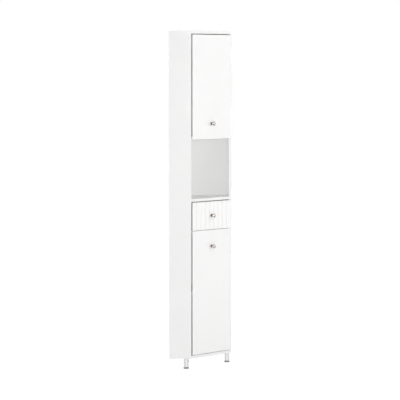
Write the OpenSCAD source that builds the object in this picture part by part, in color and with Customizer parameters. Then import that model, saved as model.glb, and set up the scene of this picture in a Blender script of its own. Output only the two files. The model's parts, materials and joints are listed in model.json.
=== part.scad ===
// Tall corner cabinet for a bathroom: a five-sided carcass with a diagonal front, two doors,
// an open niche, a fluted drawer on ball-bearing runners and three levelling feet.
// X runs to the right and Y to the back, Z is up, and the origin is on the floor at the middle
// of the square that the cabinet fills. The room's corner is at the back left.

/* [Cabinet] */
// Height from the floor to the top of the top board
cabinet_h = 1775; // [1650:5:1950]
// Length of the cabinet along each wall
wall_len = 330; // [320:1:370]
// Width of each short side panel
side_w = 118; // [108:1:128]
// Thickness of the side panels, shelves and other boards
board_t = 15; // [14:0.5:17]
// Thickness of the two panels that stand against the walls
back_t = 12; // [11:0.5:14]
// Thickness of the doors and of the drawer's front
front_t = 15; // [14:0.5:18]

/* [Heights inside] */
// Height of the underside of the bottom board over the floor
foot_h = 55; // [45:1:80]
// Clear height of the lower cupboard
lower_clear = 645; // [560:5:700]
// Clear height of the drawer's bay
bay_clear = 152; // [130:1:180]
// Clear height of the open niche
niche_clear = 311; // [250:1:350]
// Height of the lower shelf's underside over the bottom board
lower_shelf_rise = 322; // [200:2:400]
// Height of the upper shelf's underside over the niche's ceiling
upper_shelf_rise = 262; // [180:2:320]

/* [Doors and drawer front] */
// Gap below the lower door, and between it and the drawer's front
front_gap = 2.5; // [2:0.5:4]
// Gap above the upper door and above the drawer's front
top_gap = 4.5; // [2:0.5:5]
// Gap beside the left edges of the fronts, measured along the side panel
latch_gap = 5; // [3:0.5:6]
// Distance from the back of the fronts to the shelves' front edges
shelf_setback = 1; // [0.5:0.5:4]
// How far the drawer's front reaches down over the bay floor's edge
bay_lap = 1; // [0.5:0.5:4]
// Number of grooves down the drawer's front
flute_count = 8; // [4:1:12]
// Width of a groove at the front face
flute_w = 2.5; // [2:0.5:6]
// Depth of a groove
flute_depth = 2.5; // [1:0.25:3]
// Height of the upper knob over the upper door's lower edge
upper_knob_rise = 81; // [50:1:160]
// Distance of the lower knob below the lower door's upper edge
lower_knob_drop = 86; // [50:1:160]

/* [Knobs] */
// Diameter of a knob's head
knob_head_d = 22; // [18:1:28]
// How far a knob stands out from the front
knob_out = 25; // [20:1:32]
// Thickness of a knob's head at its rim
knob_rim_t = 2; // [1.5:0.5:4]
// Height of the dome over the rim
knob_dome_h = 5; // [3:0.5:7]
// Diameter of a knob's neck
knob_neck_d = 8.5; // [8:0.5:12]
// Diameter of the foot of a knob
knob_foot_d = 15; // [12:1:18]
// Thickness of the foot of a knob
knob_foot_t = 2.5; // [1.5:0.5:4]

/* [Hinges] */
// Length of a hinge
hinge_len = 60; // [50:1:80]
// Distance from a door's end to the nearest end of a hinge
hinge_inset = 75; // [40:1:110]
// Thickness of a hinge leaf
leaf_t = 1; // [0.8:0.1:1.4]
// Width of a hinge leaf from the pin's axis
leaf_w = 12; // [11:0.5:13]
// Gap between the two leaves of a closed hinge
leaf_gap = 0.5; // [0.4:0.1:1]
// Number of knuckles on a hinge, odd
knuckle_count = 5; // [3:2:7]
// Radius of a hinge pin
pin_r = 1.1; // [0.9:0.05:1.3]
// Wall of a knuckle round the pin
knuckle_wall = 1.1; // [0.9:0.05:1.3]
// Distance of the pin's axis from the side panel's outer face
pin_inset = 3; // [2.9:0.1:4]

/* [Drawer] */
// Thickness of the drawer's sides and back
drawer_t = 12; // [10:0.5:14]
// Height of the drawer's sides
drawer_side_h = 141; // [90:1:145]
// Thickness of the drawer's bottom
drawer_bottom_t = 3; // [3:0.5:5]
// Height of the drawer's bottom over the lower edges of its sides
drawer_bottom_rise = 10; // [6:1:16]
// Gap left below the drawer's sides
drawer_lift = 5; // [4:0.5:8]
// How far the drawer pulls out
drawer_travel = 95; // [60:1:100]

/* [Drawer runners] */
// Width of the gap that a runner fills beside the drawer
runner_gap = 12.7; // [12:0.1:14]
// Height of a runner
runner_h = 35; // [32:1:40]
// Thickness of a runner's steel
runner_t = 1.2; // [1:0.1:1.4]
// Diameter of a runner's balls
ball_d = 4.6; // [4:0.1:5]
// Number of balls in each row
ball_count = 5; // [3:1:5]
// Length of a ball cage
cage_len = 45; // [42:1:50]
// Thickness of a ball cage's steel
cage_t = 0.6; // [0.5:0.1:0.7]

/* [Feet] */
// Distance of a front foot's axis from the side panel's outer face
foot_inset = 22; // [22:1:30]
// Distance of a foot's axis from the nearer wall
foot_from_wall = 90; // [70:1:100]
// Diameter of a leg's tube
leg_d = 25; // [22:1:28]
// Wall of a leg's tube
leg_wall = 1.2; // [1:0.1:2]
// Thickness of a leg's round plate
leg_plate_t = 2; // [1.5:0.5:3]
// Diameter of a leg's round plate
leg_plate_d = 42; // [41:1:43]
// Height of the pad under a leg
pad_h = 7; // [6:0.5:12]
// Diameter of the pad
pad_d = 28; // [26:1:32]
// Height of the pale collar between the pad and the tube
collar_h = 3; // [2:0.5:5]
// Diameter of the collar
collar_d = 19; // [16:1:21]
// Diameter of the pad's stud
stud_d = 8; // [6:0.5:10]

/* [Magnetic catches] */
// Width of a catch's housing
catch_w = 34; // [28:1:40]
// Depth of a catch's housing
catch_depth = 14; // [12:1:20]
// Height of a catch's magnet and of its strike plate
magnet_h = 8; // [6:0.5:10]
// Distance of a catch's middle from the free edge of its door, along the front
catch_in = 62; // [50:1:90]
// Thickness of a strike plate
strike_t = 1.2; // [1:0.1:2]

/* [Shelf pins] */
// Diameter of a shelf pin
shelf_pin_d = 5; // [4:0.5:6]
// Depth of a shelf pin's hole
pin_hole_depth = 9; // [7:0.5:10]
// How far a shelf pin stands out of its panel
shelf_pin_out = 9; // [7:0.5:14]
// Distance between the holes of a row
hole_pitch = 32; // [25:1:40]
// Number of holes above a shelf's pin, and as many below it
holes_each_way = 2; // [1:1:3]

/* [Cam fittings] */
// Diameter of a cam
cam_d = 15; // [12:0.5:18]
// Depth of a cam's recess in its board
cam_h = 12.5; // [11:0.5:13]
// Distance of a cam's middle from the end of its board
cam_in = 24; // [20:1:34]
// Diameter of the bolt that a cam pulls on
cam_bolt_d = 6; // [5:0.5:7]
// How deep the bolt sits in the panel
cam_pilot = 8; // [6:0.5:9]

/* [Hidden] */
$fn = 48;

// A cut runs past the face that it opens by this much
overrun = 1;
// Radial clearance of a turning fit
run_clear = 0.05;
// Gap between pieces that are seated but not glued
seat_gap = 0.2;
// Gap between pieces that move past each other
move_gap = 0.3;
root2 = sqrt(2);

// Heights of the boards
low_z = foot_h + board_t;
bay_z = low_z + lower_clear;
bay_top = bay_z + board_t;
niche_z = bay_top + bay_clear;
niche_top = niche_z + board_t;
ceiling_z = niche_top + niche_clear;
ceiling_top = ceiling_z + board_t;
top_z = cabinet_h - board_t;
lower_shelf_z = low_z + lower_shelf_rise;
upper_shelf_z = ceiling_top + upper_shelf_rise;

// Heights of the fronts
lower_door_z = low_z + front_gap;
drawer_front_z = bay_top - bay_lap;
lower_door_top = drawer_front_z - front_gap;
drawer_front_top = niche_z - top_gap;
upper_door_z = ceiling_z;
upper_door_top = top_z - top_gap;

// The diagonal front: its width, the side gap that the hinges fill, both edges of the fronts
// along it, and the shelves' line
front_w = (wall_len - side_w) * root2;
side_gap = 2 * leaf_t + leaf_gap;
front_edge = side_gap * root2;
latch_edge = latch_gap * root2;
shelf_v = front_t + shelf_setback;

// Hinges
knuckle_r = pin_r + run_clear + knuckle_wall;
hinge_recess_r = knuckle_r + move_gap;
knuckle_len = hinge_len / knuckle_count;
pin_head_r = pin_r + knuckle_wall / 2;
pin_head_h = pin_r;
hinge_x = wall_len - pin_inset;
hinge_y = -side_w - side_gap / 2;
leaf_screw_shares = [0.6, 0.36];
leaf_screw_in = leaf_w * leaf_screw_shares[0];
leaf_screw_z = hinge_len * leaf_screw_shares[1];
upper_hinges = [
    upper_door_z + hinge_inset + hinge_len / 2,
    upper_door_top - hinge_inset - hinge_len / 2
];
lower_hinges = [
    lower_door_z + hinge_inset + hinge_len / 2,
    lower_door_top - hinge_inset - hinge_len / 2
];

// Small countersunk screw, and the wider screw of the knobs
screw_r = 1.2;
screw_head_r = 2.4;
screw_head_h = 1.2;
screw_len = 7;
screw_tip = 1.5;
screw_cross = 0.5;
knob_screw_r = 2;
knob_screw_head_r = 4;
knob_screw_head_h = 2.4;
knob_screw_grip = 9;
knob_screw_crown_share = 0.7;
knob_screw_band_share = 0.4;

// Heights of the knobs, and the share of the room under a knob's head that its throat fills
upper_knob_z = upper_door_z + upper_knob_rise;
lower_knob_z = lower_door_top - lower_knob_drop;
drawer_knob_z = (drawer_front_z + drawer_front_top) / 2;
throat_share = 0.8;

// Drawer and its runners, across the front: the runner boards start in the side panels' corner
runner_board_u = board_t * root2 - shelf_v + seat_gap * root2;
runner_u = runner_board_u + board_t;
drawer_u = runner_u + runner_gap;
drawer_w = front_w - 2 * drawer_u;
wall_k = (side_w - back_t) * root2;
drawer_back_gap = 12;
drawer_back_v = drawer_u + wall_k - drawer_back_gap;
drawer_z = bay_top + drawer_lift;
groove_depth = drawer_t / 2;
runner_front_gap = 2;
runner_back_gap = 20;
runner_v = shelf_v + runner_front_gap;
runner_end = drawer_back_v - runner_back_gap;
runner_z = bay_top + bay_clear / 2;
// Gap between a ball and its races
ball_play = 0.1;
race_r = ball_d / 2 + ball_play;
ball_u = race_r + runner_t;
ball_z = runner_h / 2 - race_r - runner_t;
rail_tip_u = ball_u - ball_d / 5;
cage_u = runner_t + move_gap;
cage_v = runner_v + cage_len / 2 + drawer_travel / 2;
runner_screw_in = 12;

// Feet
socket_len = 20;
socket_play = 0.1;
leg_plate_screw_r = (leg_plate_d + leg_d) / 4;
leg_screws_each = 3;
leg_screw_turn = 15;
stud_share = 0.8;
front_left_foot = [foot_from_wall, -(wall_len - foot_inset)];
front_right_foot = [wall_len - foot_inset, -foot_from_wall];
rear_foot = [foot_from_wall, -foot_from_wall];
feet = [front_left_foot, front_right_foot, rear_foot];

// Catches: the magnet hangs so low that the strike plate stays below the door's upper edge
catch_v = front_t + strike_t + move_gap;
catch_ear_t = 2.5;
catch_ear_w = 9;
catch_wall = 2;
magnet_out = 0.1;
strike_clear = 1.5;
catch_drop = top_gap + strike_clear + magnet_h / 2;
catch_h = catch_drop + magnet_h / 2 + catch_wall;
strike_w = catch_w + magnet_h;

// Shelf pins sit at this share of a side panel's width
shelf_pin_share = 0.6;

// Screw holes that fix the cabinet to the wall, and their places along a back panel
wall_hole_r = 2.75;
wall_hole_drop = 60;
wall_hole_in = 70;
wall_hole_pitch = 180;

// Cams: their slots, and their places along a side panel and along a back panel
cam_neck_r = 2;
cam_slot_w = 1.6;
cam_slot_depth = 2;
cam_slot_share = 0.7;
side_cam_shares = [0.25, 0.6];
back_cam_share = 0.3;

// Colours as the photograph shows them
WHITE = [0.96, 0.96, 0.95];
STEEL = [0.75, 0.76, 0.78];
CHROME = [0.85, 0.86, 0.88];
DARK = [0.32, 0.32, 0.34];
PALE = [0.9, 0.9, 0.88];

// Moves children from the room corner's own axes to the cabinet's frame
module from_corner() {
    translate([-wall_len / 2, wall_len / 2, 0])
        children();
}

// Children are drawn along the diagonal front: x along it from the left end, y inwards
module on_front() {
    from_corner()
        translate([side_w, -wall_len, 0])
            rotate([0, 0, 45])
                children();
}

// The same from the right end of the front, as a mirror image
module on_front_right() {
    on_front()
        translate([front_w, 0, 0])
            mirror([1, 0, 0])
                children();
}

// Five-sided outline of the top and bottom boards
function outer_outline() = [
    [0, 0], [wall_len, 0], [wall_len, -side_w], [side_w, -wall_len], [0, -wall_len]
];

// Outline between the panels, its front edge a distance behind the front, with a gap all round
function inner_outline(behind, gap) =
    let (low = back_t + gap, high = wall_len - board_t - gap)
    let (line = wall_len + side_w - behind * root2)
    [[low, -low], [high, -low], [high, high - line], [line - high, -high], [low, -high]];

// Outline of the niche's floor, whose front corners lap over the side panels' front edges
function niche_outline() =
    let (high = wall_len - board_t)
    [
        [back_t, -back_t], [high, -back_t], [high, -side_w], [wall_len, -side_w],
        [side_w, -wall_len], [side_w, -high], [back_t, -high]
    ];

// Points of an arc, from one angle to another
function arc(centre, r, from, to, steps) = [
    for (i = [0 : steps])
        let (a = from + (to - from) * i / steps)
        centre + r * [cos(a), sin(a)]
];

// Small countersunk screw that points down, with its head's face at zero
module small_screw() {
    color(STEEL)
        difference() {
            rotate_extrude()
                polygon([
                    [0, 0], [screw_head_r, 0], [screw_r, -screw_head_h],
                    [screw_r, screw_tip - screw_len], [0, -screw_len]
                ]);
            for (a = [0, 90])
                rotate([0, 0, a])
                    translate([-screw_head_r / 2, -screw_cross / 2, -screw_head_h / 2])
                        cube([screw_head_r, screw_cross, screw_head_h]);
        }
}

// The hole of that screw, a little wider than the screw
module small_screw_hole() {
    rotate_extrude()
        polygon([
            [0, overrun], [screw_head_r + run_clear, overrun], [screw_head_r + run_clear, 0],
            [screw_r + run_clear, -screw_head_h], [screw_r + run_clear, -screw_len - move_gap],
            [0, -screw_len - move_gap]
        ]);
}

// Places of a hinge's screws, seen from the pin's axis
module at_leaf_screws(heights) {
    for (z = heights)
        for (end = [-1, 1])
            translate([-leaf_screw_in, 0, z + end * leaf_screw_z])
                children();
}

// Moves children to the hinges' axis
module at_hinge_axis() {
    from_corner()
        translate([hinge_x, hinge_y, 0])
            children();
}

// Holes of the screws that hold the frame leaves
module frame_leaf_screws_at(heights) {
    at_hinge_axis()
        at_leaf_screws(heights)
            translate([0, leaf_gap / 2, 0])
                rotate([90, 0, 0])
                    children();
}

// Places of the screws that hold the door leaves
module door_leaf_screws_at(heights) {
    at_hinge_axis()
        at_leaf_screws(heights)
            translate([0, -leaf_gap / 2, 0])
                rotate([-90, 0, 0])
                    children();
}

// Grooves that the knuckles turn in
module hinge_recesses(heights) {
    at_hinge_axis()
        for (z = heights)
            translate([0, 0, z - hinge_len / 2 - pin_head_h - move_gap])
                cylinder(h = hinge_len + 2 * (pin_head_h + move_gap), r = hinge_recess_r);
}

// Plate of one leaf with its own knuckles, which alternate with the other leaf's
module hinge_leaf(first, turned) {
    flip = turned ? -1 : 1;
    plate_y = turned ? -leaf_gap / 2 - leaf_t : leaf_gap / 2;
    difference() {
        union() {
            translate([-leaf_w, plate_y, -hinge_len / 2])
                cube([leaf_w, leaf_t, hinge_len]);
            for (k = [first : 2 : knuckle_count - 1])
                translate([0, 0, k * knuckle_len - hinge_len / 2])
                    cylinder(h = knuckle_len, r = knuckle_r);
        }
        translate([0, 0, -hinge_len / 2 - overrun])
            cylinder(h = hinge_len + 2 * overrun, r = pin_r + run_clear);
        for (k = [1 - first : 2 : knuckle_count - 1])
            translate([0, 0, k * knuckle_len - hinge_len / 2 - run_clear])
                cylinder(h = knuckle_len + 2 * run_clear, r = hinge_recess_r);
        if (first == 1) {
            translate([0, 0, hinge_len / 2 - knuckle_len - run_clear])
                cylinder(h = knuckle_len + overrun, r = hinge_recess_r);
            translate([0, 0, -hinge_len / 2 - overrun])
                cylinder(h = knuckle_len + overrun + run_clear, r = hinge_recess_r);
        }
        for (end = [-1, 1])
            translate([-leaf_screw_in, flip * leaf_gap / 2, end * leaf_screw_z])
                rotate([flip * 90, 0, 0])
                    small_screw_hole();
    }
}

// Fixed leaves of a door's hinges
module frame_leaves(heights) {
    color(STEEL)
        at_hinge_axis()
            for (z = heights)
                translate([0, 0, z])
                    hinge_leaf(0, false);
}

// Moving leaves of a door's hinges
module door_leaves(heights) {
    color(STEEL)
        at_hinge_axis()
            for (z = heights)
                translate([0, 0, z])
                    hinge_leaf(1, true);
}

// Pins of a door's hinges, with a small round head at each end
module hinge_pins(heights) {
    color(CHROME)
        at_hinge_axis()
            for (z = heights)
                translate([0, 0, z - hinge_len / 2]) {
                    cylinder(h = hinge_len, r = pin_r);
                    translate([0, 0, -pin_head_h])
                        cylinder(h = pin_head_h, r = pin_head_r);
                    translate([0, 0, hinge_len])
                        cylinder(h = pin_head_h, r = pin_head_r);
                }
}

// Heights of one row of shelf-pin holes, the pin's own in the middle
function hole_heights(shelf_z) = [
    for (i = [-holes_each_way : holes_each_way]) shelf_z - shelf_pin_d / 2 + i * hole_pitch
];

// Children at the four places that carry a shelf, pointing out of the panels along z
module at_shelf_supports() {
    side_x = side_w * shelf_pin_share;
    back_x = foot_from_wall;
    from_corner() {
        translate([side_x, -wall_len + board_t, 0])
            rotate([-90, 0, 0])
                children();
        translate([wall_len - board_t, -side_x, 0])
            rotate([0, -90, 0])
                children();
        translate([back_t, -back_x, 0])
            rotate([0, 90, 0])
                children();
        translate([back_x, -back_t, 0])
            rotate([90, 0, 0])
                children();
    }
}

// All shelf-pin holes
module shelf_pin_holes() {
    for (shelf_z = [lower_shelf_z, upper_shelf_z])
        for (z = hole_heights(shelf_z))
            translate([0, 0, z])
                at_shelf_supports()
                    translate([0, 0, -pin_hole_depth])
                        cylinder(h = pin_hole_depth + overrun, r = shelf_pin_d / 2 + run_clear);
}

module shelf_pins() {
    color(STEEL)
        for (shelf_z = [lower_shelf_z, upper_shelf_z])
            translate([0, 0, shelf_z - shelf_pin_d / 2])
                at_shelf_supports()
                    translate([0, 0, move_gap - pin_hole_depth])
                        cylinder(h = pin_hole_depth + shelf_pin_out - move_gap, r = shelf_pin_d / 2);
}

// Children at the cams of a board's left half: x along the bolt to the panel, z into the board
module at_left_cams() {
    for (share = side_cam_shares)
        translate([side_w * share, -wall_len + board_t + cam_in, 0])
            rotate([0, 0, -90])
                children();
    translate([back_t + cam_in, -wall_len * back_cam_share, 0])
        rotate([0, 0, 180])
            children();
}

// The same for both halves of a board
module at_board_cams() {
    at_left_cams()
        children();
    mirror([1, 1, 0])
        at_left_cams()
            children();
}

// Children at all cams: below the bay's floor and the niche's floor, and on the niche's ceiling
module at_cams() {
    from_corner() {
        for (z = [bay_z, niche_z])
            translate([0, 0, z])
                at_board_cams()
                    children();
        translate([0, 0, ceiling_top])
            mirror([0, 0, 1])
                at_board_cams()
                    children();
    }
}

// Recess of a cam with the bore for its bolt, which runs on into the panel
module cam_bore() {
    translate([0, 0, -overrun])
        cylinder(h = cam_h + overrun, r = cam_d / 2 + run_clear);
    translate([0, 0, board_t / 2])
        rotate([0, 90, 0])
            cylinder(h = cam_in + cam_pilot, r = cam_bolt_d / 2 + run_clear);
}

// Round cam with a cross slot, open at one side for the bolt's head
module cam() {
    slot_len = cam_d * cam_slot_share;
    difference() {
        cylinder(h = cam_h, r = cam_d / 2);
        for (a = [0, 90])
            rotate([0, 0, a])
                translate([-slot_len / 2, -cam_slot_w / 2, -overrun])
                    cube([slot_len, cam_slot_w, cam_slot_depth + overrun]);
        translate([0, 0, board_t / 2])
            rotate([0, 90, 0])
                cylinder(h = cam_d, r = cam_bolt_d / 2 + run_clear);
    }
}

// Bolt with a head and a neck inside the cam
module cam_bolt() {
    r = cam_bolt_d / 2;
    step = r - cam_neck_r;
    translate([0, 0, board_t / 2])
        rotate([0, 90, 0])
            rotate_extrude()
                polygon([
                    [0, move_gap], [r, move_gap], [r, r], [cam_neck_r, r + step],
                    [cam_neck_r, cam_d / 2 - step], [r, cam_d / 2],
                    [r, cam_in + cam_pilot], [0, cam_in + cam_pilot]
                ]);
}

module cam_fittings() {
    color(STEEL)
        at_cams() {
            cam();
            cam_bolt();
        }
}

module left_side_panel() {
    color(WHITE)
        difference() {
            from_corner()
                translate([0, -wall_len, low_z])
                    cube([side_w, board_t, top_z - low_z]);
            shelf_pin_holes();
            at_cams()
                cam_bore();
        }
}

module right_side_panel() {
    color(WHITE)
        difference() {
            from_corner()
                translate([wall_len - board_t, -side_w, low_z])
                    cube([board_t, side_w, top_z - low_z]);
            shelf_pin_holes();
            at_cams()
                cam_bore();
            hinge_recesses(concat(upper_hinges, lower_hinges));
            frame_leaf_screws_at(concat(upper_hinges, lower_hinges))
                small_screw_hole();
        }
}

module left_back_panel() {
    color(WHITE)
        difference() {
            from_corner()
                translate([0, -wall_len + board_t, low_z])
                    cube([back_t, wall_len - board_t, top_z - low_z]);
            shelf_pin_holes();
            at_cams()
                cam_bore();
            from_corner()
                for (i = [0, 1])
                    translate([-overrun, -wall_hole_in - i * wall_hole_pitch, top_z - wall_hole_drop])
                        rotate([0, 90, 0])
                            cylinder(h = back_t + 2 * overrun, r = wall_hole_r);
        }
}

module right_back_panel() {
    color(WHITE)
        difference() {
            from_corner()
                translate([back_t, -back_t, low_z])
                    cube([wall_len - board_t - back_t, back_t, top_z - low_z]);
            shelf_pin_holes();
            at_cams()
                cam_bore();
            from_corner()
                for (i = [0, 1])
                    translate([wall_hole_in + i * wall_hole_pitch, overrun, top_z - wall_hole_drop])
                        rotate([90, 0, 0])
                            cylinder(h = back_t + 2 * overrun, r = wall_hole_r);
        }
}

// Children at each screw of a foot's plate, given the foot's place
module at_leg_screws(place) {
    from_corner()
        translate([place[0], place[1], foot_h - leg_plate_t])
            for (k = [0 : leg_screws_each - 1])
                rotate([0, 0, k * 360 / leg_screws_each + leg_screw_turn])
                    translate([leg_plate_screw_r, 0, 0])
                        rotate([180, 0, 0])
                            children();
}

module bottom_board() {
    color(WHITE)
        difference() {
            from_corner()
                translate([0, 0, foot_h])
                    linear_extrude(board_t)
                        polygon(outer_outline());
            for (place = feet)
                at_leg_screws(place)
                    small_screw_hole();
        }
}

module top_board() {
    color(WHITE)
        difference() {
            from_corner()
                translate([0, 0, top_z])
                    linear_extrude(board_t)
                        polygon(outer_outline());
            catch_screws_at(top_z)
                small_screw_hole();
        }
}

module niche_floor() {
    color(WHITE)
        difference() {
            from_corner()
                translate([0, 0, niche_z])
                    linear_extrude(board_t)
                        polygon(niche_outline());
            at_cams()
                cam_bore();
        }
}

module niche_ceiling() {
    color(WHITE)
        difference() {
            from_corner()
                translate([0, 0, ceiling_z])
                    linear_extrude(board_t)
                        polygon(inner_outline(shelf_v, 0));
            at_cams()
                cam_bore();
        }
}

module bay_floor() {
    color(WHITE)
        difference() {
            from_corner()
                translate([0, 0, bay_z])
                    linear_extrude(board_t)
                        polygon(inner_outline(shelf_v, 0));
            at_cams()
                cam_bore();
            catch_screws_at(bay_z)
                small_screw_hole();
        }
}

// A loose shelf, which lies on its four pins
module loose_shelf(z) {
    color(WHITE)
        from_corner()
            translate([0, 0, z])
                linear_extrude(board_t)
                    polygon(inner_outline(shelf_v + shelf_setback, shelf_setback));
}

module upper_shelf() {
    loose_shelf(upper_shelf_z);
}

module lower_shelf() {
    loose_shelf(lower_shelf_z);
}

// Upright board beside the drawer, with its back end cut to fit the wall panel
module runner_board() {
    u0 = runner_board_u;
    u1 = runner_u;
    color(WHITE)
        difference() {
            translate([0, 0, bay_top])
                linear_extrude(bay_clear)
                    polygon([
                        [u0, shelf_v], [u1, shelf_v],
                        [u1, u1 + wall_k - seat_gap], [u0, u0 + wall_k - seat_gap]
                    ]);
            cabinet_runner_screws_at()
                small_screw_hole();
        }
}

module left_runner_board() {
    on_front()
        runner_board();
}

module right_runner_board() {
    on_front_right()
        runner_board();
}

// Steel channel screwed to the runner board, curled round two rows of balls
module cabinet_runner() {
    up = [ball_u, ball_z];
    down = [ball_u, -ball_z];
    outer = race_r + runner_t;
    color(STEEL)
        difference() {
            translate([runner_u, runner_end, runner_z])
                rotate([90, 0, 0])
                    linear_extrude(runner_end - runner_v)
                        polygon(concat(
                            arc(up, outer, 0, 180, 12), arc(down, outer, 180, 360, 12),
                            arc(down, race_r, 360, 180, 12), arc(up, race_r, 180, 0, 12)
                        ));
            cabinet_runner_screws_at()
                small_screw_hole();
        }
}

module left_cabinet_runner() {
    on_front()
        cabinet_runner();
}

module right_cabinet_runner() {
    on_front_right()
        cabinet_runner();
}

// Places of a cabinet runner's two screws, which point into the runner board
module cabinet_runner_screws_at() {
    for (v = [runner_v + runner_screw_in, runner_end - runner_screw_in])
        translate([runner_u + runner_t, v, runner_z])
            rotate([0, 90, 0])
                children();
}

// Places of a drawer runner's two screws, which point into the drawer's side
module drawer_runner_screws_at() {
    for (v = [runner_v + runner_screw_in, runner_end - runner_screw_in])
        translate([drawer_u - runner_t, v, runner_z])
            rotate([0, -90, 0])
                children();
}

// Steel rail on the drawer's side, which runs on the balls inside the channel
module drawer_runner() {
    tip = rail_tip_u;
    back = runner_gap;
    top = ball_z - race_r;
    color(CHROME)
        difference() {
            translate([runner_u, runner_end, runner_z])
                rotate([90, 0, 0])
                    linear_extrude(runner_end - runner_v)
                        polygon([
                            [tip, top - runner_t], [tip, top], [back, top], [back, -top],
                            [tip, -top], [tip, runner_t - top], [back - runner_t, runner_t - top],
                            [back - runner_t, top - runner_t]
                        ]);
            drawer_runner_screws_at()
                small_screw_hole();
        }
}

module left_drawer_runner() {
    on_front()
        drawer_runner();
}

module right_drawer_runner() {
    on_front_right()
        drawer_runner();
}

// Places along a ball cage at which its balls sit
function ball_places() = [
    for (i = [0 : ball_count - 1])
        cage_v + (i - (ball_count - 1) / 2) * cage_len / ball_count
];

// Children at each ball of a runner
module at_balls() {
    for (v = ball_places())
        for (row = [-1, 1])
            translate([runner_u + ball_u, v, runner_z + row * ball_z])
                children();
}

// Thin steel strip that keeps the balls apart, with fingers between them
module ball_cage() {
    reach = 2 * ball_u - 2 * cage_u;
    color(STEEL)
        difference() {
            translate([runner_u + cage_u, cage_v - cage_len / 2, runner_z]) {
                translate([0, 0, -ball_z])
                    cube([cage_t, cage_len, 2 * ball_z]);
                for (row = [-1, 1])
                    translate([0, 0, row * ball_z - cage_t / 2])
                        cube([reach, cage_len, cage_t]);
            }
            at_balls()
                translate([0, 0, -race_r])
                    cylinder(h = 2 * race_r, r = race_r);
        }
}

module left_ball_cage() {
    on_front()
        ball_cage();
}

module right_ball_cage() {
    on_front_right()
        ball_cage();
}

module runner_balls() {
    color(CHROME)
        at_balls()
            sphere(r = ball_d / 2);
}

module left_runner_balls() {
    on_front()
        runner_balls();
}

module right_runner_balls() {
    on_front_right()
        runner_balls();
}

// Slab of a door or of the drawer's front, its side edges cut square to the side panels' ends
module front_slab(z0, z1) {
    translate([0, 0, z0])
        linear_extrude(z1 - z0)
            polygon([
                [latch_edge, 0], [front_w - front_edge, 0],
                [front_w - front_edge - front_t, front_t], [latch_edge + front_t, front_t]
            ]);
}

// Hole through a front for its knob's screw
module knob_hole(z) {
    translate([front_w / 2, -overrun, z])
        rotate([-90, 0, 0])
            cylinder(h = front_t + 2 * overrun, r = knob_screw_r + seat_gap);
}

// Turned metal knob that points out along z
module knob_form() {
    head_r = knob_head_d / 2;
    neck_r = knob_neck_d / 2;
    foot_r = knob_foot_d / 2;
    rim_z = knob_out - knob_dome_h - knob_rim_t;
    dome_z = knob_out - knob_dome_h;
    dome_r = (head_r * head_r + knob_dome_h * knob_dome_h) / (2 * knob_dome_h);
    dome_half = asin(head_r / dome_r);
    flare_r = (rim_z - knob_foot_t) / 2;
    throat_r = min(flare_r, head_r - neck_r) * throat_share;
    color(CHROME)
        difference() {
            rotate_extrude()
                polygon(concat(
                    [[0, 0], [foot_r, 0], [foot_r, knob_foot_t]],
                    arc([neck_r + (foot_r - neck_r), knob_foot_t + foot_r - neck_r],
                        foot_r - neck_r, 270, 180, 8),
                    arc([neck_r + throat_r, rim_z - throat_r], throat_r, 180, 90, 8),
                    [[head_r, rim_z], [head_r, dome_z]],
                    [for (i = [1 : 11]) let (a = dome_half * (1 - i / 12))
                        [dome_r * sin(a), knob_out - dome_r + dome_r * cos(a)]],
                    [[0, knob_out]]
                ));
            translate([0, 0, -overrun])
                cylinder(h = knob_screw_grip + overrun, r = knob_screw_r + run_clear);
        }
}

// Knob in the middle of the front at a height
module knob_at(z) {
    on_front()
        translate([front_w / 2, 0, z])
            rotate([90, 0, 0])
                knob_form();
}

// Screw that holds a knob from inside the front
module knob_screw_at(z) {
    color(STEEL)
        on_front()
            translate([front_w / 2, front_t, z])
                rotate([90, 0, 0])
                    difference() {
                        rotate_extrude()
                            polygon([
                                [0, -knob_screw_head_h],
                                [knob_screw_head_r * knob_screw_crown_share, -knob_screw_head_h],
                                [knob_screw_head_r, -knob_screw_head_h * knob_screw_band_share],
                                [knob_screw_head_r, 0],
                                [knob_screw_r, 0], [knob_screw_r, front_t + knob_screw_grip - move_gap],
                                [0, front_t + knob_screw_grip - move_gap]
                            ]);
                        for (a = [0, 90])
                            rotate([0, 0, a])
                                translate([-knob_screw_r, -screw_cross, -knob_screw_head_h - overrun])
                                    cube([2 * knob_screw_r, 2 * screw_cross, overrun + screw_head_h]);
                    }
}

// A door with its knob's hole, its hinge grooves and its screw holes
module door(z0, z1, hinges, knob_z, strike_z) {
    color(WHITE)
        difference() {
            on_front()
                difference() {
                    front_slab(z0, z1);
                    knob_hole(knob_z);
                    strike_screws_at(strike_z)
                        small_screw_hole();
                }
            hinge_recesses(hinges);
            door_leaf_screws_at(hinges)
                small_screw_hole();
        }
}

module upper_door() {
    door(upper_door_z, upper_door_top, upper_hinges, upper_knob_z, top_z - catch_drop);
}

module lower_door() {
    door(lower_door_z, lower_door_top, lower_hinges, lower_knob_z, bay_z - catch_drop);
}

module upper_knob() {
    knob_at(upper_knob_z);
}

module lower_knob() {
    knob_at(lower_knob_z);
}

module drawer_knob() {
    knob_at(drawer_knob_z);
}

module upper_knob_screw() {
    knob_screw_at(upper_knob_z);
}

module lower_knob_screw() {
    knob_screw_at(lower_knob_z);
}

module drawer_knob_screw() {
    knob_screw_at(drawer_knob_z);
}

module upper_frame_leaves() {
    frame_leaves(upper_hinges);
}

module lower_frame_leaves() {
    frame_leaves(lower_hinges);
}

module upper_door_leaves() {
    door_leaves(upper_hinges);
}

module lower_door_leaves() {
    door_leaves(lower_hinges);
}

module upper_hinge_pins() {
    hinge_pins(upper_hinges);
}

module lower_hinge_pins() {
    hinge_pins(lower_hinges);
}

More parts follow.
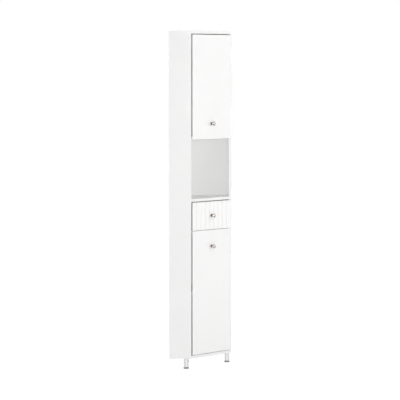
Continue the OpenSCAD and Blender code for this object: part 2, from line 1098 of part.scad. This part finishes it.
// Places of a catch's two screws, which point up into the board over it
module catch_screws_at(board_z) {
    on_front()
        for (end = [-1, 1])
            translate([
                catch_in + end * (catch_w + catch_ear_w) / 2,
                catch_v + catch_depth / 2,
                board_z - catch_ear_t
            ])
                rotate([180, 0, 0])
                    children();
}

// Plastic housing of a magnetic catch, hung under a board, open to the front for its magnet
module catch_housing(board_z) {
    color(PALE)
        difference() {
            on_front()
                translate([catch_in, catch_v, board_z]) {
                    difference() {
                        union() {
                            translate([-catch_w / 2, 0, -catch_h])
                                cube([catch_w, catch_depth, catch_h]);
                            translate([-catch_w / 2 - catch_ear_w, 0, -catch_ear_t])
                                cube([catch_w + 2 * catch_ear_w, catch_depth, catch_ear_t]);
                        }
                        translate([-catch_w / 2 + catch_wall, -overrun, -catch_h + catch_wall])
                            cube([
                                catch_w - 2 * catch_wall,
                                catch_depth - catch_wall + overrun,
                                magnet_h
                            ]);
                    }
                }
            catch_screws_at(board_z)
                small_screw_hole();
        }
}

// Magnet between two steel plates, which stand a little out of the housing
module catch_magnet(board_z) {
    w = catch_w - 2 * catch_wall - 2 * seat_gap;
    h = magnet_h - 2 * seat_gap;
    depth = catch_depth - catch_wall - seat_gap;
    plate = h / 6;
    color(DARK)
        on_front()
            translate([catch_in - w / 2, catch_v, board_z - catch_h + catch_wall + seat_gap]) {
                translate([0, 0, plate])
                    cube([w, depth, h - 2 * plate]);
                for (z = [0, h - plate])
                    translate([0, -magnet_out, z])
                        cube([w, depth + magnet_out, plate]);
            }
}

module upper_catch() {
    catch_housing(top_z);
}

module lower_catch() {
    catch_housing(bay_z);
}

module upper_magnet() {
    catch_magnet(top_z);
}

module lower_magnet() {
    catch_magnet(bay_z);
}

// Places of a strike plate's two screws, in the front's own axes
module strike_screws_at(z) {
    for (end = [-1, 1])
        translate([catch_in + end * catch_w / 3, front_t + strike_t, z])
            rotate([-90, 0, 0])
                children();
}

// Steel plate on the inside of a door that the magnet holds
module strike_plate(z) {
    color(STEEL)
        on_front()
            difference() {
                translate([catch_in - strike_w / 2, front_t, z - magnet_h / 2])
                    cube([strike_w, strike_t, magnet_h]);
                strike_screws_at(z)
                    small_screw_hole();
            }
}

module upper_strike_plate() {
    strike_plate(top_z - catch_drop);
}

module lower_strike_plate() {
    strike_plate(bay_z - catch_drop);
}

// Screws of the hinges, runners and catches on the carcass
module carcass_screws() {
    frame_leaf_screws_at(concat(upper_hinges, lower_hinges))
        small_screw();
    on_front()
        cabinet_runner_screws_at()
            small_screw();
    on_front_right()
        cabinet_runner_screws_at()
            small_screw();
    for (z = [top_z, bay_z])
        catch_screws_at(z)
            small_screw();
}

// Screws of one door's leaves and strike plate
module door_screws(hinges, strike_z) {
    door_leaf_screws_at(hinges)
        small_screw();
    on_front()
        strike_screws_at(strike_z)
            small_screw();
}

module upper_door_screws() {
    door_screws(upper_hinges, top_z - catch_drop);
}

module lower_door_screws() {
    door_screws(lower_hinges, bay_z - catch_drop);
}

// Leg tube with its round plate under the bottom board
module leg(place) {
    tube_z = pad_h + collar_h;
    color(STEEL)
        difference() {
            from_corner()
                translate([place[0], place[1], 0]) {
                    difference() {
                        translate([0, 0, tube_z])
                            cylinder(h = foot_h - leg_plate_t - tube_z, r = leg_d / 2);
                        translate([0, 0, tube_z - overrun])
                            cylinder(
                                h = foot_h - 2 * leg_plate_t - tube_z + overrun,
                                r = leg_d / 2 - leg_wall
                            );
                    }
                    translate([0, 0, foot_h - leg_plate_t])
                        cylinder(h = leg_plate_t, r = leg_plate_d / 2);
                }
            at_leg_screws(place)
                small_screw_hole();
        }
}

module front_left_leg() {
    leg(front_left_foot);
}

module front_right_leg() {
    leg(front_right_foot);
}

module rear_leg() {
    leg(rear_foot);
}

// Plugs in the ends of the tubes, whose collars show and whose bores take the studs
module leg_sockets() {
    plug_r = leg_d / 2 - leg_wall - socket_play;
    color(PALE)
        from_corner()
            for (place = feet)
                translate([place[0], place[1], pad_h])
                    difference() {
                        union() {
                            translate([0, 0, move_gap])
                                cylinder(h = collar_h + socket_len - move_gap, r = collar_d / 2);
                            translate([0, 0, collar_h])
                                cylinder(h = socket_len, r = plug_r);
                        }
                        translate([0, 0, -overrun])
                            cylinder(
                                h = collar_h + socket_len + 2 * overrun,
                                r = stud_d / 2 + run_clear
                            );
                    }
}

module leg_screws() {
    for (place = feet)
        at_leg_screws(place)
            small_screw();
}

// Levelling pad with its stud
module pad(place) {
    round_r = pad_h / 3;
    color(DARK)
        from_corner()
            translate([place[0], place[1], 0])
                rotate_extrude()
                    polygon(concat(
                        [[0, 0], [pad_d / 2 - round_r / 3, 0], [pad_d / 2, round_r / 3]],
                        arc([pad_d / 2 - round_r, pad_h - round_r], round_r, 0, 90, 8),
                        [
                            [stud_d / 2, pad_h], [stud_d / 2, pad_h + collar_h + socket_len * stud_share],
                            [0, pad_h + collar_h + socket_len * stud_share]
                        ]
                    ));
}

module front_left_pad() {
    pad(front_left_foot);
}

module front_right_pad() {
    pad(front_right_foot);
}

module rear_pad() {
    pad(rear_foot);
}

// Groove that a drawer part holds the drawer's bottom in, as one slab cut from each of them
module drawer_bottom_slab(play) {
    over = groove_depth - seat_gap + play;
    translate([
        drawer_u + drawer_t - over,
        front_t - over,
        drawer_z + drawer_bottom_rise - play
    ])
        cube([
            drawer_w - 2 * drawer_t + 2 * over,
            drawer_back_v - drawer_t - front_t + 2 * over,
            drawer_bottom_t + 2 * play
        ]);
}

module drawer_front() {
    pitch = (front_w - latch_edge - front_edge) / (flute_count + 1);
    color(WHITE)
        on_front()
            difference() {
                front_slab(drawer_front_z, drawer_front_top);
                for (k = [1 : flute_count])
                    translate([latch_edge + k * pitch, 0, drawer_front_z - overrun])
                        linear_extrude(drawer_front_top - drawer_front_z + 2 * overrun)
                            polygon([[-flute_w / 2, 0], [0, -overrun], [flute_w / 2, 0], [0, flute_depth]]);
                knob_hole(drawer_knob_z);
                drawer_bottom_slab(seat_gap);
            }
}

// One side of the drawer's box, drawn for the left
module drawer_side() {
    color(WHITE)
        difference() {
            translate([drawer_u, front_t, drawer_z])
                cube([drawer_t, drawer_back_v - front_t, drawer_side_h]);
            drawer_bottom_slab(seat_gap);
            drawer_runner_screws_at()
                small_screw_hole();
        }
}

module drawer_left_side() {
    on_front()
        drawer_side();
}

module drawer_right_side() {
    on_front_right()
        drawer_side();
}

module drawer_back() {
    color(WHITE)
        on_front()
            difference() {
                translate([drawer_u + drawer_t, drawer_back_v - drawer_t, drawer_z])
                    cube([drawer_w - 2 * drawer_t, drawer_t, drawer_side_h]);
                drawer_bottom_slab(seat_gap);
            }
}

module drawer_bottom() {
    color(WHITE)
        on_front()
            drawer_bottom_slab(0);
}

module drawer_screws() {
    on_front()
        drawer_runner_screws_at()
            small_screw();
    on_front_right()
        drawer_runner_screws_at()
            small_screw();
}

left_side_panel();
right_side_panel();
left_back_panel();
right_back_panel();
bottom_board();
top_board();
niche_floor();
niche_ceiling();
bay_floor();
upper_shelf();
lower_shelf();
shelf_pins();
left_runner_board();
right_runner_board();
left_cabinet_runner();
right_cabinet_runner();
upper_frame_leaves();
lower_frame_leaves();
upper_hinge_pins();
lower_hinge_pins();
upper_catch();
lower_catch();
upper_magnet();
lower_magnet();
carcass_screws();
cam_fittings();
front_left_leg();
front_right_leg();
rear_leg();
leg_sockets();
leg_screws();
front_left_pad();
front_right_pad();
rear_pad();
upper_door();
upper_knob();
upper_knob_screw();
upper_strike_plate();
upper_door_leaves();
upper_door_screws();
lower_door();
lower_knob();
lower_knob_screw();
lower_strike_plate();
lower_door_leaves();
lower_door_screws();
drawer_front();
drawer_left_side();
drawer_right_side();
drawer_back();
drawer_bottom();
drawer_knob();
drawer_knob_screw();
left_drawer_runner();
right_drawer_runner();
drawer_screws();
left_ball_cage();
right_ball_cage();
left_runner_balls();
right_runner_balls();
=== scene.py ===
import json
import math

import bpy
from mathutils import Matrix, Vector

# The looks of a white corner cabinet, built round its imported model. Everything is in metres.

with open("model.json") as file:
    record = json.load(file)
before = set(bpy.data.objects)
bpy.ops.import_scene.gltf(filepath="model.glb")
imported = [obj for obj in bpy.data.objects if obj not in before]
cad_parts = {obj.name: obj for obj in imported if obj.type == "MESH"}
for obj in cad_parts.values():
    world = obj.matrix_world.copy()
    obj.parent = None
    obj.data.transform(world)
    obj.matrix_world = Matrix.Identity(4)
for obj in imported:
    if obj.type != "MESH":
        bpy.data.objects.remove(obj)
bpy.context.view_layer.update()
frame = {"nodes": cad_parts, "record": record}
NODES = frame["nodes"]
SLOT_OF = {part["node"]: part["material_slot"] for part in frame["record"]["subparts"]}

# Camera, fitted to the cabinet's edges in the photograph
CAMERA_PLACE = (-0.00225, -9.858, 1.6016)
CAMERA_TILT = 0.06764
CAMERA_LENS = 167.26
CAMERA_SHIFT = -0.025
CAMERA_REACH = 100.0

# Light: strength of the surroundings, and the lamps by place, width, power and aim
AMBIENT = 0.32
LAMPS = {
    "front": ((0.12, -10.2, 1.68), 0.6, 283.0, (0.0, 0.0, 0.9)),
    "right": ((3.1, -1.5, 1.8), 2.2, 37.8, (0.0, 0.0, 0.9)),
    "above": ((0.6, -3.0, 5.0), 2.5, 21.5, (0.0, 0.0, 0.9)),
    "top": ((-0.3, 0.7, 4.6), 2.0, 26.0, (0.0, 0.0, 1.7)),
    "back left": ((-6.0, 3.4, 3.0), 3.0, 240.0, (0.0, 0.0, 0.9)),
    "back right": ((4.8, 5.2, 3.0), 3.0, 60.0, (0.0, 0.0, 0.9)),
}
WHITE = (1.0, 1.0, 1.0, 1.0)

# Floor: its own tone and roughness, and the share of plain white that the camera sees over them
FLOOR_TONE = (0.9, 0.9, 0.9, 1.0)
FLOOR_ROUGHNESS = 0.9
FLOOR_GLOW_SHARE = 0.93
FLOOR_GLOW = 1.07
FLOOR_RADIUS = 30.0
FLOOR_STEPS = 96

# Boards: light and dark tone, range of roughness, scale of the grain and its depth
BOARDS = {
    "panel_white": ((0.895, 0.895, 0.89), (0.875, 0.876, 0.872), (0.42, 0.52), 1500.0, 0.00005),
    "front_white": ((0.93, 0.93, 0.925), (0.915, 0.915, 0.91), (0.29, 0.31), 420.0, 0.00012),
    # Drawer front: the fronts' white made lighter as painted light; its flutes get painted shade
    "fluted_white_painted_light_and_shade": ((0.955, 0.955, 0.95), (0.94, 0.94, 0.935), (0.29, 0.31), 420.0, 0.00012),
    # Runner boards: dark grey painted on as shade for the drawer's gap
    "runner_painted_shade": ((0.23, 0.23, 0.228), (0.19, 0.19, 0.188), (0.48, 0.58), 1500.0, 0.00005),
}
BOARD_CLOUD_SCALE = 5.0
BOARD_GLOSS_SCALE = 40.0
BOARD_GRAIN_STRENGTH = 0.35
COATING_IOR = 1.46

# Metals: light and dark tone, range of roughness, scale of the lines by axis and their depth
METALS = {
    "chrome": (
        (0.46, 0.42, 0.40), (0.40, 0.36, 0.34), (0.16, 0.24), (60.0, 60.0, 60.0), 0.000005
    ),
    "satin_steel": (
        (0.70, 0.70, 0.69), (0.60, 0.60, 0.59), (0.26, 0.38), (80.0, 80.0, 2600.0), 0.00002
    ),
    "zinc_steel": (
        (0.68, 0.69, 0.72), (0.56, 0.57, 0.60), (0.30, 0.45), (300.0, 300.0, 300.0), 0.00002
    ),
    "hinge_steel": (
        (0.76, 0.76, 0.77), (0.64, 0.64, 0.66), (0.22, 0.36), (900.0, 900.0, 60.0), 0.00002
    ),
    "ball_steel": (
        (0.78, 0.78, 0.80), (0.72, 0.72, 0.75), (0.05, 0.10), (200.0, 200.0, 200.0), 0.000004
    ),
    "magnet": (
        (0.25, 0.25, 0.27), (0.16, 0.16, 0.17), (0.35, 0.55), (400.0, 400.0, 400.0), 0.00002
    ),
}
METAL_LINE_STRENGTH = 0.3

# Plastics: light and dark tone, range of roughness
PLASTICS = {
    "pale_plastic": ((0.82, 0.82, 0.81), (0.78, 0.78, 0.77), (0.40, 0.55)),
    "dark_plastic": ((0.30, 0.30, 0.31), (0.25, 0.25, 0.26), (0.45, 0.62)),
}
PLASTIC_CLOUD_SCALE = 60.0
PLASTIC_GRAIN_SCALE = 1400.0
PLASTIC_GRAIN_STRENGTH = 0.4
PLASTIC_GRAIN_DEPTH = 0.00006

# Noise keeps mostly between these values
NOISE_LOW = 0.3
NOISE_HIGH = 0.7

# Sockets of a node that mixes two colours
MIX_SHARE = 0
MIX_FIRST = 6
MIX_SECOND = 7
MIX_RESULT = 2

# Rounding of the edges, by material slot
EDGE_WIDTHS = {"panel_white": 0.0008, "front_white": 0.0011, "pale_plastic": 0.0002}
EDGE_STEPS = 3
SHARP_ANGLE = math.radians(35)
WELD_GAP = 0.000002

# The diagonal front's directions: into the cabinet, along the front, and up
INTO_FRONT = Vector((-math.sqrt(0.5), math.sqrt(0.5), 0.0))
ALONG_FRONT = Vector((math.sqrt(0.5), math.sqrt(0.5), 0.0))
UP = Vector((0.0, 0.0, 1.0))

# Painted shade in the flutes' colour: it starts at the lip and is full below it,
# down to the floor of the flutes, and stops short of the front's ends and of its upper and lower
# rims
PAINTED_FLUTE_SHADE = (0.65, 0.65, 0.645)
FLUTE_LIP = 0.0002
FLUTE_FULL = 0.0011
FLUTE_FLOOR = 0.004
END_MARGIN = 0.006
RIM_MARGIN = 0.0012
MASK_SOFTNESS = 0.0008

# Painted shade and dark reflection on the knobs' feet and necks, darker than their heads; distances
# from the front's plane
PAINTED_NECK_SHADE = (0.17, 0.152, 0.142)
NECK_START = 0.0125
NECK_END = 0.0175


def new_material(name):
    """A new material with its node tree, its shader and the object's own coordinates."""
    material = bpy.data.materials.new(name)
    material.use_nodes = True
    tree = material.node_tree
    shader = tree.nodes["Principled BSDF"]
    return material, tree, shader, object_place(tree)


def object_place(tree):
    """The point's place in the object's own coordinates."""
    return tree.nodes.new("ShaderNodeTexCoord").outputs["Object"]


def noise(tree, place, scale, detail=3.0, roughness=0.5, stretch=(1.0, 1.0, 1.0)):
    """A noise value over the object, with its own scale along each axis."""
    mapping = tree.nodes.new("ShaderNodeMapping")
    mapping.inputs["Scale"].default_value = stretch
    tree.links.new(place, mapping.inputs["Vector"])
    node = tree.nodes.new("ShaderNodeTexNoise")
    node.inputs["Scale"].default_value = scale
    node.inputs["Detail"].default_value = detail
    node.inputs["Roughness"].default_value = roughness
    tree.links.new(mapping.outputs["Vector"], node.inputs["Vector"])
    return node.outputs["Fac"]


def ramp(tree, value, start, end, low=0.0, high=1.0):
    """A value that runs from low to high while another runs from start to end."""
    node = tree.nodes.new("ShaderNodeMapRange")
    node.inputs["From Min"].default_value = start
    node.inputs["From Max"].default_value = end
    node.inputs["To Min"].default_value = low
    node.inputs["To Max"].default_value = high
    tree.links.new(value, node.inputs["Value"])
    return node.outputs["Result"]


def spread(tree, value, low=0.0, high=1.0):
    """A noise value stretched to run from low to high."""
    return ramp(tree, value, NOISE_LOW, NOISE_HIGH, low, high)


def reckon(tree, operation, first, second=None, clamp=False):
    """One step of arithmetic on values; the second may be a number."""
    node = tree.nodes.new("ShaderNodeMath")
    node.operation = operation
    node.use_clamp = clamp
    tree.links.new(first, node.inputs[0])
    if isinstance(second, float):
        node.inputs[1].default_value = second
    elif second is not None:
        tree.links.new(second, node.inputs[1])
    return node.outputs[0]


def place_along(tree, place, direction):
    """How far a point lies along a direction."""
    node = tree.nodes.new("ShaderNodeVectorMath")
    node.operation = "DOT_PRODUCT"
    node.inputs[1].default_value = direction
    tree.links.new(place, node.inputs[0])
    return node.outputs["Value"]


def mix_colours(tree, share):
    """The sockets of a new colour mix: both colours and the result."""
    node = tree.nodes.new("ShaderNodeMix")
    node.data_type = "RGBA"
    tree.links.new(share, node.inputs[MIX_SHARE])
    return node.inputs[MIX_FIRST], node.inputs[MIX_SECOND], node.outputs[MIX_RESULT]


def tones(tree, value, dark, light):
    """A colour between two tones."""
    first, second, result = mix_colours(tree, value)
    first.default_value = (*dark, 1.0)
    second.default_value = (*light, 1.0)
    return result


def tint(tree, mask, colour):
    """Puts a colour in place of the shader's own where the mask is 1."""
    socket = tree.nodes["Principled BSDF"].inputs["Base Color"]
    first, second, result = mix_colours(tree, mask)
    tree.links.new(socket.links[0].from_socket, first)
    second.default_value = (*colour, 1.0)
    tree.links.new(result, socket)


def relief(tree, shader, height, strength, depth):
    """Small relief on the shader's normal."""
    node = tree.nodes.new("ShaderNodeBump")
    node.inputs["Strength"].default_value = strength
    node.inputs["Distance"].default_value = depth
    tree.links.new(height, node.inputs["Height"])
    tree.links.new(node.outputs["Normal"], shader.inputs["Normal"])


def coated_board(name, light, dark, gloss, grain_scale, grain_depth):
    """Coated board: faint cloudiness in tone and gloss, and a fine pressed grain."""
    material, tree, shader, place = new_material(name)
    clouds = spread(tree, noise(tree, place, BOARD_CLOUD_SCALE, 2.0))
    tree.links.new(tones(tree, clouds, dark, light), shader.inputs["Base Color"])
    roughness = spread(tree, noise(tree, place, BOARD_GLOSS_SCALE), *gloss)
    tree.links.new(roughness, shader.inputs["Roughness"])
    grain = noise(tree, place, grain_scale, 4.0, 0.6)
    relief(tree, shader, grain, BOARD_GRAIN_STRENGTH, grain_depth)
    shader.inputs["IOR"].default_value = COATING_IOR
    return material


def metal(name, light, dark, gloss, line_scales, line_depth):
    """Metal with brushed or drawn lines."""
    material, tree, shader, place = new_material(name)
    shader.inputs["Metallic"].default_value = 1.0
    lines = noise(tree, place, 1.0, 4.0, 0.6, line_scales)
    tree.links.new(tones(tree, spread(tree, lines), dark, light), shader.inputs["Base Color"])
    tree.links.new(spread(tree, lines, *gloss), shader.inputs["Roughness"])
    relief(tree, shader, lines, METAL_LINE_STRENGTH, line_depth)
    return material


def plastic(name, light, dark, gloss):
    """Moulded plastic with a fine spark-eroded grain."""
    material, tree, shader, place = new_material(name)
    grain = noise(tree, place, PLASTIC_GRAIN_SCALE, 3.0, 0.6)
    clouds = spread(tree, noise(tree, place, PLASTIC_CLOUD_SCALE, 2.0))
    tree.links.new(tones(tree, clouds, dark, light), shader.inputs["Base Color"])
    tree.links.new(spread(tree, grain, *gloss), shader.inputs["Roughness"])
    relief(tree, shader, grain, PLASTIC_GRAIN_STRENGTH, PLASTIC_GRAIN_DEPTH)
    return material


def paint_neck_shade(material, node):
    """Paints shade and a dark reflection onto the knobs' feet and necks, by their distance from the
    front that carries one.
    """
    tree = material.node_tree
    plane = max(vertex.co.dot(INTO_FRONT) for vertex in node.data.vertices)
    depth = place_along(tree, object_place(tree), INTO_FRONT)
    tint(tree, ramp(tree, depth, plane - NECK_END, plane - NECK_START), PAINTED_NECK_SHADE)


def paint_flute_shade(material, node):
    """Paints shade into the colour of a front's flutes, by their depth below its plane."""
    tree = material.node_tree
    place = object_place(tree)
    spots = [vertex.co for vertex in node.data.vertices]
    plane = min(spot.dot(INTO_FRONT) for spot in spots)
    floor = plane + FLUTE_FLOOR
    depth = place_along(tree, place, INTO_FRONT)
    below_lip = ramp(tree, depth, plane + FLUTE_LIP, plane + FLUTE_FULL)
    above_floor = ramp(tree, depth, floor, floor + MASK_SOFTNESS, 1.0, 0.0)
    mask = reckon(tree, "MULTIPLY", below_lip, above_floor)
    for direction, margin in ((ALONG_FRONT, END_MARGIN), (UP, RIM_MARGIN)):
        low = min(spot.dot(direction) for spot in spots)
        high = max(spot.dot(direction) for spot in spots)
        edge = (high - low) / 2 - margin
        offset = reckon(tree, "SUBTRACT", place_along(tree, place, direction), (low + high) / 2)
        distance = reckon(tree, "ABSOLUTE", offset)
        inside = ramp(tree, distance, edge, edge + MASK_SOFTNESS, 1.0, 0.0)
        mask = reckon(tree, "MULTIPLY", mask, inside)
    tint(tree, mask, PAINTED_FLUTE_SHADE)


def make_materials():
    """All materials by name."""
    makers = ((coated_board, BOARDS), (metal, METALS), (plastic, PLASTICS))
    return {name: make(name, *look) for make, looks in makers for name, look in looks.items()}


def paint(node, material):
    """Gives every slot of a CAD node one material."""
    if not node.material_slots:
        node.data.materials.append(material)
    for slot in node.material_slots:
        slot.material = material


def round_edges(node, width):
    """Closes the node's split edges and rounds its sharp ones."""
    weld = node.modifiers.new("weld", "WELD")
    weld.merge_threshold = WELD_GAP
    bevel = node.modifiers.new("edges", "BEVEL")
    bevel.width = width
    bevel.segments = EDGE_STEPS
    bevel.limit_method = "ANGLE"
    bevel.angle_limit = SHARP_ANGLE
    bevel.use_clamp_overlap = True
    normals = node.modifiers.new("normals", "WEIGHTED_NORMAL")
    normals.keep_sharp = False


def dress():
    """Materials for every node, and rounded edges for boards, fronts and pale fittings."""
    materials = make_materials()
    for name, node in NODES.items():
        slot = SLOT_OF[name]
        paint(node, materials[slot])
        if slot in EDGE_WIDTHS:
            round_edges(node, EDGE_WIDTHS[slot])
    # Painted shade and dark reflection on the knobs' feet and necks
    paint_neck_shade(materials["chrome"], NODES["upper_knob"])
    # Painted shade in the drawer front's flutes
    paint_flute_shade(materials["fluted_white_painted_light_and_shade"], NODES["drawer_front"])
    # The drawer front's white is a lighter copy of the fronts' white, as painted light
    paint(NODES["drawer_front"], materials["fluted_white_painted_light_and_shade"])
    # The boards that carry the runners show through the drawer's left gap; their dark grey is
    # painted shade that keeps the gap dark
    for side in ("left", "right"):
        paint(NODES[side + "_runner_board"], materials["runner_painted_shade"])


def make_camera():
    """The photograph's camera."""
    data = bpy.data.cameras.new("camera")
    data.lens = CAMERA_LENS
    data.shift_y = CAMERA_SHIFT
    data.clip_end = CAMERA_REACH
    camera = bpy.data.objects.new("camera", data)
    camera.location = CAMERA_PLACE
    camera.rotation_euler = (math.pi / 2 - CAMERA_TILT, 0.0, 0.0)
    bpy.context.scene.collection.objects.link(camera)
    bpy.context.scene.camera = camera


def seen_directly(tree):
    """1 for rays of the camera, and for mirror and clear rays, so that metal shows white too."""
    path = tree.nodes.new("ShaderNodeLightPath")
    total = path.outputs["Is Camera Ray"]
    for name in ("Is Glossy Ray", "Is Transmission Ray"):
        total = reckon(tree, "ADD", total, path.outputs[name], clamp=True)
    return total


def mix_shaders(tree, share, first, second, surface):
    """Shows the second shader in place of the first by a share."""
    mix = tree.nodes.new("ShaderNodeMixShader")
    tree.links.new(share, mix.inputs[0])
    tree.links.new(first.outputs[0], mix.inputs[1])
    tree.links.new(second.outputs[0], mix.inputs[2])
    tree.links.new(mix.outputs[0], surface.inputs["Surface"])


def make_world():
    """White surroundings, dimmer as light than as a background."""
    world = bpy.data.worlds.new("studio")
    bpy.context.scene.world = world
    world.use_nodes = True
    tree = world.node_tree
    light = tree.nodes["Background"]
    light.inputs["Color"].default_value = WHITE
    light.inputs["Strength"].default_value = AMBIENT
    shown = tree.nodes.new("ShaderNodeBackground")
    shown.inputs["Color"].default_value = WHITE
    shown.inputs["Strength"].default_value = 1.0
    mix_shaders(tree, seen_directly(tree), light, shown, tree.nodes["World Output"])


def make_lamp(name, place, width, power, aim):
    """A round soft lamp that looks at its aim."""
    data = bpy.data.lights.new(name, "AREA")
    data.shape = "DISK"
    data.size = width
    data.energy = power
    lamp = bpy.data.objects.new(name, data)
    lamp.location = place
    lamp.rotation_mode = "QUATERNION"
    lamp.rotation_quaternion = (Vector(aim) - Vector(place)).to_track_quat("-Z", "Y")
    bpy.context.scene.collection.objects.link(lamp)


def floor_material():
    """Pale floor that looks white and keeps a faint shadow of the cabinet."""
    material, tree, shader, _ = new_material("floor")
    shader.inputs["Base Color"].default_value = FLOOR_TONE
    shader.inputs["Roughness"].default_value = FLOOR_ROUGHNESS
    glow = tree.nodes.new("ShaderNodeEmission")
    glow.inputs["Strength"].default_value = FLOOR_GLOW
    share = reckon(tree, "MULTIPLY", seen_directly(tree), FLOOR_GLOW_SHARE)
    mix_shaders(tree, share, shader, glow, tree.nodes["Material Output"])
    return material


def make_floor():
    """A round floor under the cabinet."""
    turns = [math.tau * step / FLOOR_STEPS for step in range(FLOOR_STEPS)]
    points = [(FLOOR_RADIUS * math.cos(turn), FLOOR_RADIUS * math.sin(turn), 0.0) for turn in turns]
    mesh = bpy.data.meshes.new("floor")
    mesh.from_pydata(points, [], [list(range(FLOOR_STEPS))])
    floor = bpy.data.objects.new("floor", mesh)
    mesh.materials.append(floor_material())
    bpy.context.scene.collection.objects.link(floor)


make_camera()
make_world()
for lamp_name, lamp_values in LAMPS.items():
    make_lamp(lamp_name, *lamp_values)
make_floor()
dress()

bpy.context.scene.view_settings.view_transform = "Standard"
